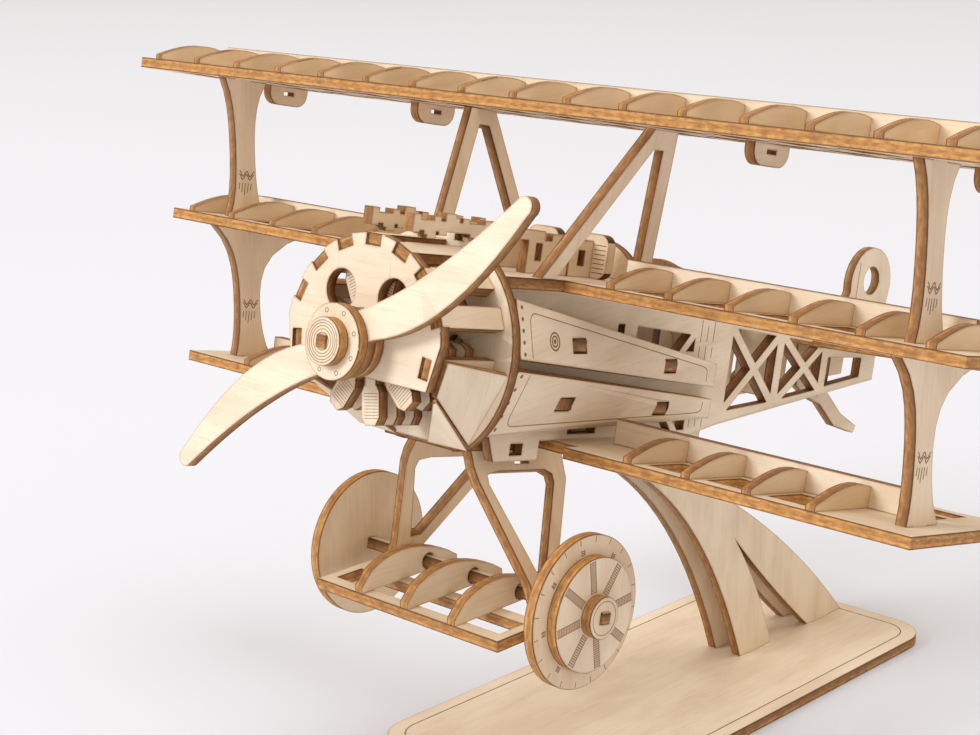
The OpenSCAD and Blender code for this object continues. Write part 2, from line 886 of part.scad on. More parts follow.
// Leaning V plate under the belly, with the bore that the axle turns in
module gear_leg_outline(top) {
    foot = [for (a = [-20:-20:-160]) 4.6 * [cos(a), sin(a)]];
    difference() {
        polygon(concat([[-18, top + 4], [-18, top - 5], [-17, top - 9]], [[-5, 3.2]],
            [for (i = [len(foot) - 1:-1:0]) foot[i]], [[4.9, 3]], [[16.6, top - 9], [16.6, top + 4]]));
        polygon([[-13.4, top - 7.2], [-9.4, top - 6.4], [8.6, top - 6.4], [11.2, top - 7.6],
            [11.4, top - 9.8], [2, 7], [-1.6, 6.4], [-13.4, top - 9.6]]);
        translate([-2.5, top - 4.6]) square([5.5, 3]);
    }
}

module gear_leg() {
    run = (low_z - axle_z) / cos(gear_lean);
    color(wood_face) airframe() difference() {
        translate([gear_foot_x, axle_y, axle_z]) rotate([0, -gear_lean, 0]) translate([-ply / 2, 0, 0])
            along(0) gear_leg_outline(run);
        translate([gear_foot_x, axle_y, axle_z]) rotate([0, 90, 0])
            cylinder(r = axle_bore_r, h = 12, center = true);
        translate([-5, 0, low_z]) cube([60, 90, 12]);
    }
}

module gear_leg_port() { gear_leg(); }
module gear_leg_starboard() { mirror([1, 0, 0]) gear_leg(); }

// The fairing wing hangs level round the axle
module axle_frame() {
    airframe() translate([0, axle_y, axle_z]) rotate([pitch, 0, 0]) children();
}

module axle_wing_frame() {
    w = 2 * aw_half;
    len = aw_rear - aw_front;
    color(wood_face) axle_frame() flat(aw_top - ply) difference() {
        translate([-aw_half, aw_front]) square([w, len]);
        translate([-aw_half + aw_end, aw_front + aw_bar]) square([w - 2 * aw_end, 9]);
        translate([-aw_half + aw_end, aw_front + 2 * aw_bar + 9])
            square([w - 2 * aw_end, len - 3 * aw_bar - 9]);
    }
}

module axle_wing_ribs() {
    n = 10;
    len = aw_rear - aw_front;
    color(wood_dark) axle_frame() for (x = [-16.5, 0, 16.5]) along(x - ply / 2) difference() {
        translate([aw_front, aw_top]) polygon(concat([[0, 0]],
            [for (i = [0:n]) [len * i / n, 1.6 + 6.6 * pow(sin(180 * pow(i / n, 0.8)), 0.8)]],
            [[len, 0]]));
        circle(axle_bore_r);
    }
}

module axle() {
    color(wood_face) airframe() translate([-axle_half, axle_y - axle_d / 2, axle_z - axle_d / 2])
        cube([2 * axle_half, axle_d, axle_d]);
}

module wheel_disc(x, r) {
    color(wood_face) airframe() both() translate([x, axle_y, axle_z]) along(0) difference() {
        circle(r);
        box2(axle_d + 2 * fit, axle_d + 2 * fit);
    }
}

module tyre_discs() { wheel_disc(wheel_x, wheel_r); }
module spoke_discs() { wheel_disc(wheel_x + ply, spoke_r); }
module wheel_hub_discs() { wheel_disc(wheel_x + 2 * ply, hub_r); }

// ---------- stand ----------

// Points on a swept edge of a stand plate, in (y, z) of the model frame
function sweep(a, b, c, n) = [for (i = [0:n]) let (u = i / n)
    a * (1 - u) * (1 - u) + b * 2 * u * (1 - u) + c * u * u];

// Point of the pitched aeroplane in the model frame
function pitched(y, z) = [nose_y + y * cos(pitch) + z * sin(pitch),
    thrust_h - y * sin(pitch) + z * cos(pitch)];

function foot_tab(y) = [[y + foot_tab_w, ply], [y + foot_tab_w, 0], [y, 0], [y, ply]];

// Front edge, head inside the fuselage, rear edge, then the two tabbed feet either side of the slit
module stand_outline() {
    head_y0 = 103.5;
    head_y1 = 134.5;
    front_top = pitched(head_y0, -32);
    rear_top = pitched(head_y1, -36);
    slit_top = [36.5, 42];
    difference() {
        polygon(concat(
            sweep([41, ply], [22, 55], front_top, 14),
            [pitched(head_y0, head_top), pitched(head_y1, head_top)],
            sweep(rear_top, [62, 40], [96, ply], 14),
            foot_tab(foot_tabs[1]),
            sweep([77, ply], [55, 22], slit_top, 8),
            sweep(slit_top, [50, 24], [57, ply], 8),
            foot_tab(foot_tabs[0])));
        translate(pitched(saddle_y, saddle_z0 + saddle_lap)) rotate(-pitch)
            translate([-fit, 0]) square([ply + 2 * fit, 20]);
    }
}

module stand_plate() {
    color(wood_dark) along(stand_x - ply / 2) stand_outline();
}

module stand_plate_port() { stand_plate(); }
module stand_plate_starboard() { mirror([1, 0, 0]) stand_plate(); }

module stand_ties() {
    color(wood_edge) for (p = [[20, 56], [46, 12], [82, 6]])
        translate([-stand_x + ply / 2, p[0], p[1]]) cube([2 * stand_x - ply, ply, 6]);
}

module stand_base() {
    color(wood_face) flat(0) difference() {
        translate([-base_w / 2, base_y0]) round_rect(base_w, base_len, 12);
        for (x = [-1, 1], y = foot_tabs) translate([x * stand_x - ply / 2 - fit, y - fit])
            square([ply + 2 * fit, foot_tab_w + 2 * fit]);
    }
}

hub_cap();
propeller_flange();
propeller();
propeller_backing_disc();
crankshaft();
engine_star_front();
engine_star_middle();
engine_star_rear();
crankcase_discs();
cowl_front_plate();
cowl_slats();
firewall();
cowl_cheek_port();
cowl_cheek_starboard();
cowl_chin_panels();
upper_side_panel_port();
upper_side_panel_starboard();
lower_side_panel_port();
lower_side_panel_starboard();
fuselage_side_port();
fuselage_side_starboard();
fuselage_formers();
cockpit_deck();
turtledeck();
instrument_panel();
seat();
belly_plate();
gun_port();
gun_starboard();
cabane_strut_port();
cabane_strut_starboard();
top_wing_plate();
top_wing_spar();
top_wing_ribs();
mid_wing_plate_port();
mid_wing_plate_starboard();
mid_wing_spars();
mid_wing_ribs_port();
mid_wing_ribs_starboard();
lower_wing_plate();
lower_wing_spar();
lower_wing_ribs();
interplane_strut_port();
interplane_strut_starboard();
top_wing_tabs();
tailplane();
rudder();
tail_skid();
gear_leg_port();
gear_leg_starboard();
axle_wing_frame();
axle_wing_ribs();
axle();
tyre_discs();
spoke_discs();
wheel_hub_discs();
stand_plate_port();
stand_plate_starboard();
stand_ties();
stand_base();
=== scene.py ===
import json
import math
import random

import bpy
import bmesh
from mathutils import Matrix, Vector
from mathutils.bvhtree import BVHTree


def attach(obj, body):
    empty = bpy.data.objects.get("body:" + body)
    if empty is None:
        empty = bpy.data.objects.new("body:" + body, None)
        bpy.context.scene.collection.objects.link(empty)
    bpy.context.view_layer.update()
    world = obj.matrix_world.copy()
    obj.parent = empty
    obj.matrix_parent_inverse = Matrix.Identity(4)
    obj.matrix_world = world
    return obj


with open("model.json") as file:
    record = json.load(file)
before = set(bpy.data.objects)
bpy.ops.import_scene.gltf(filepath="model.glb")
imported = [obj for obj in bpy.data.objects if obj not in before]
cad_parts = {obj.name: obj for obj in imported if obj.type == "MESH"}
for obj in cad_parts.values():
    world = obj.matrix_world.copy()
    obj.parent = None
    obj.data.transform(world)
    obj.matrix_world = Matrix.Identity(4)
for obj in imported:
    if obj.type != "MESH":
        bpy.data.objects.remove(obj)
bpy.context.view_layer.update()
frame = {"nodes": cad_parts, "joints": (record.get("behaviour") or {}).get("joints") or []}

NODES = frame["nodes"]
MM = 0.001

# The aeroplane leans nose-up on its stand. The propeller's joint says where its nose is and how it leans.
lean = next(joint for joint in frame["joints"] if joint["name"] == "propeller_spin")
nose = Vector(lean["pos_m"])
lean_cos = -lean["axis"][1]
lean_sin = lean["axis"][2]
PLANE = Matrix.Translation(nose) @ Matrix((
    (1, 0, 0, 0),
    (0, lean_cos, lean_sin, 0),
    (0, -lean_sin, lean_cos, 0),
    (0, 0, 0, 1),
))
PLANE_BACK = PLANE.inverted()

# Directions of the aeroplane's own frame
PORT, STARBOARD = Vector((1, 0, 0)), Vector((-1, 0, 0))
NOSE, UP = Vector((0, -1, 0)), Vector((0, 0, 1))
SIDES = (("port", PORT), ("starboard", STARBOARD))


def add_object(name, data):
    thing = bpy.data.objects.new(name, data)
    bpy.context.scene.collection.objects.link(thing)
    return thing


# ---------- materials: pale plywood cut by a laser ----------

class Graph:
    """A small helper that adds nodes to one material and links them."""

    def __init__(self, name):
        self.material = bpy.data.materials.new(name)
        self.material.use_nodes = True
        self.tree = self.material.node_tree
        self.shader = self.tree.nodes["Principled BSDF"]

    def add(self, kind, **settings):
        node = self.tree.nodes.new(kind)
        for key, value in settings.items():
            setattr(node, key, value)
        return node

    def link(self, source, target):
        self.tree.links.new(source, target)

    def math(self, operation, a, b=None, clamp=False):
        node = self.add("ShaderNodeMath", operation=operation, use_clamp=clamp)
        for socket, value in zip(node.inputs, (a, b)):
            self.feed(socket, value)
        return node.outputs[0]

    def feed(self, socket, value):
        if value is None:
            return
        if isinstance(value, (int, float)):
            socket.default_value = value
        else:
            self.link(value, socket)

    def mix(self, share, a, b):
        node = self.add("ShaderNodeMix", data_type="RGBA")
        self.feed(node.inputs["Factor"], share)
        for name, value in (("A", a), ("B", b)):
            socket = [s for s in node.inputs if s.name == name and s.type == "RGBA"][0]
            if isinstance(value, tuple):
                socket.default_value = (*value, 1)
            else:
                self.link(value, socket)
        return [s for s in node.outputs if s.type == "RGBA"][0]

    def tint(self, colour, mask, strength, other):
        """The colour, turned towards another one where the mask is, up to this strength."""
        return self.mix(self.math("MULTIPLY", mask, strength), colour, other)

    def ramp(self, value, low, high):
        node = self.add("ShaderNodeMapRange", interpolation_type="SMOOTHSTEP")
        self.feed(node.inputs["Value"], value)
        node.inputs["From Min"].default_value = low
        node.inputs["From Max"].default_value = high
        return node.outputs["Result"]

    def noise(self, vector, scale, detail, stretch=(1, 1, 1)):
        mapping = self.add("ShaderNodeMapping")
        self.link(vector, mapping.inputs["Vector"])
        mapping.inputs["Scale"].default_value = stretch
        node = self.add("ShaderNodeTexNoise")
        self.link(mapping.outputs["Vector"], node.inputs["Vector"])
        node.inputs["Scale"].default_value = scale
        node.inputs["Detail"].default_value = detail
        return node.outputs["Fac"]

    def attribute(self, name):
        return self.add("ShaderNodeAttribute", attribute_name=name)

    def finish(self, colour, mask, swing, base):
        """The shader's colour, and a roughness that rises from its base with the mask."""
        self.link(colour, self.shader.inputs["Base Color"])
        roughness = self.math("ADD", self.math("MULTIPLY", mask, swing), base)
        self.link(roughness, self.shader.inputs["Roughness"])

    def bump(self, height, strength, distance):
        node = self.add("ShaderNodeBump")
        node.inputs["Strength"].default_value = strength
        node.inputs["Distance"].default_value = distance
        self.link(height, node.inputs["Height"])
        self.link(node.outputs["Normal"], self.shader.inputs["Normal"])

    def near_edge(self, radius):
        """1 where the surface turns within this radius, 0 on the flat."""
        rounded = self.add("ShaderNodeBevel", samples=6)
        rounded.inputs["Radius"].default_value = radius
        true = self.add("ShaderNodeNewGeometry")
        dot = self.add("ShaderNodeVectorMath", operation="DOT_PRODUCT")
        self.link(rounded.outputs["Normal"], dot.inputs[0])
        self.link(true.outputs["Normal"], dot.inputs[1])
        return self.math("SUBTRACT", 1.0, dot.outputs["Value"], clamp=True)


def ply_face():
    """The face of a sheet: pale wood with fine grain, faint figure and a scorched rim."""
    g = Graph("ply_face")
    place = g.attribute("ply_place").outputs["Vector"]
    tone = g.attribute("ply_tone").outputs["Fac"]
    figure = g.ramp(g.noise(place, 0.11, 3, (0.35, 1, 1)), 0.35, 0.68)
    grain = g.noise(place, 1.5, 4, (0.05, 1, 1))
    pores = g.noise(place, 5.5, 2, (0.07, 1, 1))
    scorch = g.ramp(g.near_edge(0.9 * MM), 0.008, 0.16)
    streak, pore, scorched = (0.60, 0.42, 0.25), (0.45, 0.29, 0.15), (0.34, 0.17, 0.068)
    pale = g.mix(figure, (0.86, 0.745, 0.595), (0.775, 0.645, 0.49))
    honey = g.mix(figure, (0.76, 0.575, 0.36), (0.66, 0.47, 0.275))
    colour = g.mix(tone, pale, honey)
    colour = g.tint(colour, g.ramp(grain, 0.48, 0.78), 0.3, streak)
    colour = g.tint(colour, g.ramp(pores, 0.62, 0.80), 0.34, pore)
    colour = g.tint(colour, scorch, 0.8, scorched)
    g.finish(colour, grain, 0.22, 0.5)
    g.shader.inputs["Specular IOR Level"].default_value = 0.32
    g.bump(g.math("ADD", grain, g.math("MULTIPLY", pores, 0.6)), 0.22, 0.12 * MM)
    return g.material


def ply_edge():
    """The cut side of a sheet: golden plies round a dark core, charred along both rims and darkest
    on the side where the laser left it."""
    g = Graph("ply_edge")
    place = g.attribute("ply_place").outputs["Vector"]
    heat = g.attribute("ply_heat").outputs["Fac"]
    across = g.attribute("ply_depth").outputs["Fac"]
    depth = g.math("ABSOLUTE", across)
    flecks = g.noise(place, 1.1, 3, (0.40, 0.40, 1.5))
    marks = g.noise(place, 2.6, 3, (1, 1, 0.12))
    patches = g.noise(place, 0.30, 3, (1, 1, 0.6))
    warm = g.mix(g.ramp(flecks, 0.36, 0.68), (0.68, 0.35, 0.105), (0.45, 0.20, 0.058))
    burnt = g.mix(g.ramp(flecks, 0.34, 0.70), (0.47, 0.240, 0.088), (0.27, 0.125, 0.048))
    exit_burn = g.math("ADD", g.math("MULTIPLY", heat, 0.84), 0.10)
    exit_side = g.math("MULTIPLY", g.ramp(across, -0.20, 0.42), exit_burn)
    core = g.math("SUBTRACT", 1.0, g.ramp(depth, 0.10, 0.24))
    colour = g.mix(heat, warm, burnt)
    colour = g.mix(exit_side, colour, (0.13, 0.056, 0.023))
    for mask, strength, brown in (
        (g.ramp(marks, 0.50, 0.74), 0.18, (0.16, 0.072, 0.028)),
        (g.ramp(patches, 0.45, 0.72), 0.38, (0.20, 0.095, 0.038)),
        (core, 0.30, (0.15, 0.068, 0.028)),
        (g.ramp(depth, 0.33, 0.46), 0.85, (0.075, 0.034, 0.015)),
        (g.ramp(g.near_edge(0.15 * MM), 0.03, 0.25), 0.16, (0.62, 0.38, 0.18)),
    ):
        colour = g.tint(colour, mask, strength, brown)
    g.finish(colour, marks, 0.3, 0.42)
    g.shader.inputs["Specular IOR Level"].default_value = 0.25
    g.bump(marks, 0.30, 0.12 * MM)
    return g.material


def burnt_line():
    """The bottom of an engraved line: burnt brown, or tan where the laser was light."""
    g = Graph("burnt_line")
    spots = g.noise(g.attribute("ply_place").outputs["Vector"], 3.5, 3)
    patch = g.ramp(spots, 0.35, 0.7)
    dark = g.mix(patch, (0.27, 0.165, 0.095), (0.13, 0.075, 0.040))
    tan = g.mix(patch, (0.47, 0.31, 0.175), (0.33, 0.205, 0.11))
    colour = g.mix(g.attribute("ply_tone").outputs["Fac"], dark, tan)
    colour = g.tint(colour, g.ramp(g.near_edge(0.05 * MM), 0.02, 0.25), 0.3, (0.42, 0.27, 0.15))
    g.finish(colour, spots, 0.2, 0.65)
    g.bump(spots, 0.3, 0.08 * MM)
    return g.material


FACE, EDGE, LINE = ply_face(), ply_edge(), burnt_line()

# How honey-coloured a node's faces are, and how dark its cut edges are. The first key in its name counts
TONE = {"axle_wing": 0.35, "ribs": 0.75, "gear_leg": 0.6, "axle": 0.6, "tyre": 0.4, "spoke": 0.25,
        "hub": 0.35, "gun": 0.45, "strut": 0.15, "engine": 0.1, "slats": 0.25, "turtledeck": 0.2,
        "fuselage": 0.1, "formers": 0.6}
HEAT = {"wing_plate": 0.0, "axle_wing": 0.2, "tyre": 0.0, "spoke": 0.0, "hub": 0.15, "gear_leg": 0.5,
        "flange": 0.35, "backing": 0.45, "ribs": 0.6, "propeller": 0.7, "stand": 0.75, "base": 0.4,
        "slats": 0.45, "axle": 1.0, "tailplane": 0.1, "tabs": 0.3}
PLAIN_TONE, PLAIN_HEAT = 0.06, 0.85

# How far one sheet's tone and heat may lie from its node's, and its grain, in millimetres, from the others'
TONE_SWING, HEAT_SWING, GRAIN_SHIFT = (-0.06, 0.16), (-0.12, 0.12), (-400, 400)

# A polygon is face, not cut edge, where the cosine between its normal and its sheet's is above this
FLAT = 0.9
GUN_PLATE = 3.1 * MM

# Corners this close are welded. An edge that turns by more than the angle is then softened by the width
WELD_GAP = 2e-6
SOFT_EDGE = 0.09 * MM
SOFT_ANGLE = math.radians(40)


def first_match(table, name, default):
    return next((value for key, value in table.items() if key in name), default)


def loose_parts(mesh):
    """Lists of polygon indices, one list per separate solid, with coincident corners taken as one."""
    spots = {}
    corner = [spots.setdefault(tuple(round(c, 6) for c in v.co), len(spots)) for v in mesh.vertices]
    parent = list(range(len(spots)))

    def root(i):
        while parent[i] != i:
            parent[i] = parent[parent[i]]
            i = parent[i]
        return i

    for polygon in mesh.polygons:
        first, *others = (root(corner[i]) for i in polygon.vertices)
        for other in others:
            parent[root(other)] = root(first)
    parts = {}
    for polygon in mesh.polygons:
        parts.setdefault(root(corner[polygon.vertices[0]]), []).append(polygon.index)
    return [parts[key] for key in sorted(parts)]


def sheet_normal(mesh, part):
    """The direction that most of a part's surface looks along: across its sheet."""
    areas = {}
    for i in part:
        polygon = mesh.polygons[i]
        n = polygon.normal
        side = n if (round(n.x, 2), round(n.y, 2), round(n.z, 2)) > (0, 0, 0) else -n
        key = (round(side.x, 1), round(side.y, 1), round(side.z, 1))
        total, direction = areas.get(key, (0, Vector()))
        areas[key] = (total + polygon.area, direction + side * polygon.area)
    return max(areas.values(), key=lambda entry: entry[0])[1].normalized()


def grain_axes(mesh, part, normal):
    """The middle of a part, the grain's direction, along the part's longer side, and the one across it."""
    points = [mesh.vertices[v].co for i in part for v in mesh.polygons[i].vertices]
    middle = sum(points, Vector()) / len(points)
    seed = Vector((0, 0, 1)) if abs(normal.z) < 0.7 else Vector((1, 0, 0))
    u = (seed - normal * seed.dot(normal)).normalized()
    v = normal.cross(u)
    spread = [max(abs((p - middle).dot(axis)) for p in points) for axis in (u, v)]
    if spread[1] > spread[0] * 1.15:
        u, v = v, -u
    return middle, u, v


def new_attributes(mesh, **kinds):
    """Adds the attributes first and looks them up after, since adding one moves the others."""
    for name, kind in kinds.items():
        mesh.attributes.new(name, kind, "POINT")
    return [mesh.attributes[name].data for name in kinds]


def cross_faces(node_name, mesh):
    """The faces of a gun's cross plate, which stands across the gun's other sheets."""
    if not node_name.startswith("gun"):
        return set()
    aft = max((PLANE_BACK @ v.co).y for v in mesh.vertices)
    towards = PLANE.to_3x3() @ NOSE
    return {f.index for f in mesh.polygons
            if abs(f.normal.dot(towards)) > FLAT and (PLANE_BACK @ f.center).y > aft - GUN_PLATE}


def make_ply(node_name, index):
    """Gives a node its two materials and the coordinates that they read: grain along x, millimetres."""
    shape = NODES[node_name]
    mesh = shape.data
    chance = random.Random(index)
    mesh.materials.clear()
    mesh.materials.append(FACE)
    mesh.materials.append(EDGE)
    place, tone, heat, depth = new_attributes(
        mesh, ply_place="FLOAT_VECTOR", ply_tone="FLOAT", ply_heat="FLOAT", ply_depth="FLOAT")
    node_tone = first_match(TONE, node_name, PLAIN_TONE)
    node_heat = first_match(HEAT, node_name, PLAIN_HEAT)
    crossing = cross_faces(node_name, mesh)
    for part in loose_parts(mesh):
        normal = sheet_normal(mesh, part)
        middle, u, v = grain_axes(mesh, part, normal)
        shift = Vector(chance.uniform(*GRAIN_SHIFT) for _ in range(3))
        part_tone = node_tone + chance.uniform(*TONE_SWING)
        part_heat = node_heat + chance.uniform(*HEAT_SWING)
        corners = {i for p in part for i in mesh.polygons[p].vertices}
        heights = [mesh.vertices[i].co.dot(normal) for i in corners]
        centre, thick = (min(heights) + max(heights)) / 2, max(max(heights) - min(heights), MM)
        for i in corners:
            p = mesh.vertices[i].co - middle
            place[i].vector = Vector((p.dot(u), p.dot(v), p.dot(normal))) / MM + shift
            tone[i].value = min(max(part_tone, 0), 1)
            heat[i].value = min(max(part_heat, 0), 1)
            depth[i].value = (mesh.vertices[i].co.dot(normal) - centre) / thick
        for p in part:
            polygon = mesh.polygons[p]
            flat = abs(polygon.normal.dot(normal)) > FLAT or p in crossing
            polygon.material_index = 0 if flat else 1
    weld = shape.modifiers.new("weld", "WELD")
    weld.merge_threshold = WELD_GAP
    soften = shape.modifiers.new("soften", "BEVEL")
    soften.width = SOFT_EDGE
    soften.segments = 1
    soften.limit_method = "ANGLE"
    soften.angle_limit = SOFT_ANGLE


for number, name in enumerate(sorted(NODES)):
    make_ply(name, number)


# ---------- engraved lines: every length here is in millimetres of the aeroplane's frame ----------

# How far a line stands off its sheet and how far it sinks into it, in metres
PROUD = 0.035 * MM
SUNK = 0.03 * MM

# Polygons in the same half-millimetre of level belong to one sheet
LEVELS_PER_METRE = 2000


class Sheet:
    """A flat face of a node: the one furthest out that looks towards a direction of the aeroplane, or the
    largest one. Points on it are given as the two coordinates it spans. A draped sheet is followed by rays
    from outside, because it is slightly twisted."""

    def __init__(self, node, towards, least=0.93, draped=False, largest=False):
        mesh = NODES[node].data
        self.tree = None
        if draped:
            self.tree = BVHTree.FromPolygons([PLANE_BACK @ v.co for v in mesh.vertices],
                                             [tuple(f.vertices) for f in mesh.polygons])
        groups = {}
        for polygon in mesh.polygons:
            normal = (PLANE_BACK.to_3x3() @ polygon.normal).normalized()
            if normal.dot(towards) < least:
                continue
            spot = PLANE_BACK @ polygon.center
            key = (*(round(c, 1) for c in normal), round(spot.dot(normal) * LEVELS_PER_METRE))
            entry = groups.setdefault(key, [0, Vector(), 0, []])
            entry[0] += polygon.area
            entry[1] += normal * polygon.area
            entry[2] += spot.dot(normal) * polygon.area
            entry[3] += [PLANE_BACK @ mesh.vertices[i].co for i in polygon.vertices]
        most = max(entry[0] for entry in groups.values())
        least_area = most * (0.99 if largest else 0.12)
        wide = [entry for entry in groups.values() if entry[0] > least_area]
        chosen = max(wide, key=lambda entry: entry[2] / entry[0])
        self.normal = chosen[1].normalized()
        self.offset = chosen[2] / chosen[0]
        axes = [Vector((1, 0, 0)), Vector((0, 1, 0)), Vector((0, 0, 1))]
        self.u, self.v = [a for a in axes if abs(a.dot(towards)) < 0.5]
        self.along = towards
        corners = [(p.dot(self.u) / MM, p.dot(self.v) / MM) for p in chosen[3]]
        self.low = [min(c[i] for c in corners) for i in (0, 1)]
        self.high = [max(c[i] for c in corners) for i in (0, 1)]
        self.middle = [(a + b) / 2 for a, b in zip(self.low, self.high)]
        self.radius = (self.high[0] - self.low[0]) / 2

    def at(self, a, b, lift):
        """A point that far off the sheet. A ray that meets a cut edge or nothing falls back to the plane."""
        flat = (self.u * a + self.v * b) * MM
        if self.tree:
            spot, normal, _, _ = self.tree.ray_cast(flat + self.along, -self.along)
            if spot and normal.dot(self.along) > 0.7:
                return PLANE @ (spot + normal * lift)
        reach = (self.offset - flat.dot(self.normal)) / self.along.dot(self.normal)
        return PLANE @ (flat + self.along * reach + self.normal * lift)


def ribbon(bm, sheet, points, width, closed):
    """A thin closed strip of that width along a line on the sheet, with mitred corners."""
    sharpest = 0.5
    n = len(points)
    ring = []
    for i, (x, y) in enumerate(points):
        before = points[(i - 1) % n] if closed or i > 0 else None
        after = points[(i + 1) % n] if closed or i < n - 1 else None
        steps = []
        if before is not None:
            steps.append(Vector((x - before[0], y - before[1])).normalized())
        if after is not None:
            steps.append(Vector((after[0] - x, after[1] - y)).normalized())
        way = sum(steps, Vector((0, 0))).normalized()
        side = Vector((-way.y, way.x))
        mitre = 1 / max(side.dot(Vector((-steps[0].y, steps[0].x))), sharpest)
        side *= width / 2 * mitre
        ring.append([bm.verts.new(sheet.at(x + s * side.x, y + s * side.y, lift))
                     for s, lift in ((1, PROUD), (-1, PROUD), (-1, -SUNK), (1, -SUNK))])
    count = n if closed else n - 1
    for i in range(count):
        here, there = ring[i], ring[(i + 1) % n]
        for k in range(4):
            bm.faces.new((here[k], here[(k + 1) % 4], there[(k + 1) % 4], there[k]))
    if not closed:
        bm.faces.new(ring[0][::-1])
        bm.faces.new(ring[-1])


def engrave(name, body, strokes):
    """One piece of engraved lines. A stroke is a sheet, points, a width and whether it is closed, and it may
    end in how light it is, from 0 for dark to 1."""
    mesh = bpy.data.meshes.new(name)
    bm = bmesh.new()
    shades = []
    for sheet, points, width, closed, *shade in strokes:
        ribbon(bm, sheet, points, width, closed)
        shades += (shade or [0.0]) * (len(bm.verts) - len(shades))
    bmesh.ops.recalc_face_normals(bm, faces=bm.faces)
    bm.to_mesh(mesh)
    bm.free()
    place, tone = new_attributes(mesh, ply_place="FLOAT_VECTOR", ply_tone="FLOAT")
    for i, vertex in enumerate(mesh.vertices):
        place[i].vector = vertex.co / MM
        tone[i].value = shades[i]
    mesh.materials.append(LINE)
    piece = add_object(name, mesh)
    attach(piece, body)


def circle(centre, radius, steps=48):
    return [(centre[0] + radius * math.cos(math.tau * i / steps),
             centre[1] + radius * math.sin(math.tau * i / steps)) for i in range(steps)]


def turned_point(centre, turn, along, aside):
    c, s = math.cos(turn), math.sin(turn)
    return centre[0] + along * c - aside * s, centre[1] + along * s + aside * c


def spoke_line(centre, turn, inner, outer, aside=0.0):
    return [turned_point(centre, turn, radius, aside) for radius in (inner, outer)]


def rung(centre, turn, radius, half):
    """A short line across a spoke."""
    return [turned_point(centre, turn, radius, aside) for aside in (-half, half)]


def propeller_lines():
    """Rings on the hub cap and bolt heads on the flange."""
    width, bolts, bolt_radius, bolt_circle = 0.16, 8, 0.52, 0.83
    cap = Sheet("hub_cap", NOSE)
    strokes = [(cap, circle(cap.middle, cap.radius * share), width, True)
               for share in (0.36, 0.5, 0.63, 0.75, 0.86)]
    flange = Sheet("propeller_flange", NOSE)
    for k in range(bolts):
        turn = math.tau * (k + 0.5) / bolts
        spot = turned_point(flange.middle, turn, flange.radius * bolt_circle, 0)
        strokes.append((flange, circle(spot, bolt_radius, 16), width, True))
    engrave("engraved_hub_rings", "rotor", strokes)


def engine_fins():
    """Cooling fins cut across each cylinder of the front star."""
    cylinders, first_turn = 9, math.radians(-80)
    fins, innermost, gap, half_fin, width = 9, 0.62, 0.74, 2.35, 0.13
    star = Sheet("engine_star_front", NOSE)
    strokes = []
    for k in range(cylinders):
        turn = first_turn + math.tau * k / cylinders
        for i in range(fins):
            radius = star.radius * innermost + i * gap
            strokes.append((star, rung(star.middle, turn, radius, half_fin), width, False))
    engrave("engraved_cylinder_fins", "rotor", strokes)


def lerp(a, b, share):
    return (a[0] + (b[0] - a[0]) * share, a[1] + (b[1] - a[1]) * share)


def rounded(path, radius, steps=5):
    """An open path with its inner corners rounded."""
    out = [path[0]]
    for before, corner, after in zip(path, path[1:], path[2:]):
        start = lerp(corner, before, min(radius / math.dist(corner, before), 0.45))
        end = lerp(corner, after, min(radius / math.dist(corner, after), 0.45))
        for i in range(steps + 1):
            t = i / steps
            out.append(lerp(lerp(start, corner, t), lerp(corner, end, t), t))
    return out + [path[-1]]


def dense(path, step=1.4):
    """The same path with more points, so that a line follows a slightly twisted sheet."""
    out = []
    for a, b in zip(path, path[1:]):
        count = max(1, round(math.dist(a, b) / step))
        out += [lerp(a, b, i / count) for i in range(count)]
    return out + [path[-1]]


def rivet(sheet, spot, radius=0.5):
    """A small burnt dot."""
    inner = radius * 0.1
    return sheet, circle(spot, (radius + inner) / 2, 12), radius - inner, True


def panel_lines():
    """Rivets and a border on the four panels behind the cowl, and a round mark on the upper ones."""
    rivets, border_width, border_shade, ring_width = 5, 0.24, 0.35, 0.42
    for side, towards in SIDES:
        for level in ("upper", "lower"):
            node = f"{level}_side_panel_{side}"
            sheet = Sheet(node, towards, least=0.8, draped=True)
            points = [PLANE_BACK @ v.co / MM for v in NODES[node].data.vertices]
            front_y, rear_y = min(p.y for p in points), max(p.y for p in points)
            ends = [[p.z for p in points if abs(p.y - y) < 0.1] for y in (front_y, rear_y)]
            far, near = (max, min) if level == "upper" else (min, max)

            def spot_on(edge, y, inset):
                """The point at y that lies this far inside the panel's highest (max) or lowest (min) edge."""
                share = (y - front_y) / (rear_y - front_y)
                height = lerp((edge(ends[0]), 0), (edge(ends[1]), 0), share)[0]
                return y, height + inset * (-1 if edge is max else 1)

            rivet_y, border_front, border_rear = front_y + 2.1, front_y + 5.4, rear_y - 5.0
            near_rivet, far_rivet = spot_on(near, rivet_y, 1.9), spot_on(far, rivet_y, 1.6)
            strokes = [rivet(sheet, lerp(near_rivet, far_rivet, k / (rivets - 1))) for k in range(rivets)]
            border = rounded([spot_on(near, border_front, 1.2), spot_on(far, border_front, 2.1),
                              spot_on(far, border_rear, 2.0), spot_on(near, border_rear, 1.2)], 3.0)
            strokes.append((sheet, dense(border), border_width, False, border_shade))
            if level == "upper":
                mark = (front_y + 15.7, 5.3)
                strokes += [(sheet, circle(mark, radius, 32), ring_width, True) for radius in (2.1, 1.25)]
                strokes.append(rivet(sheet, mark, 0.6))
            engrave(f"engraved_{level}_panel_{side}", "airframe", strokes)


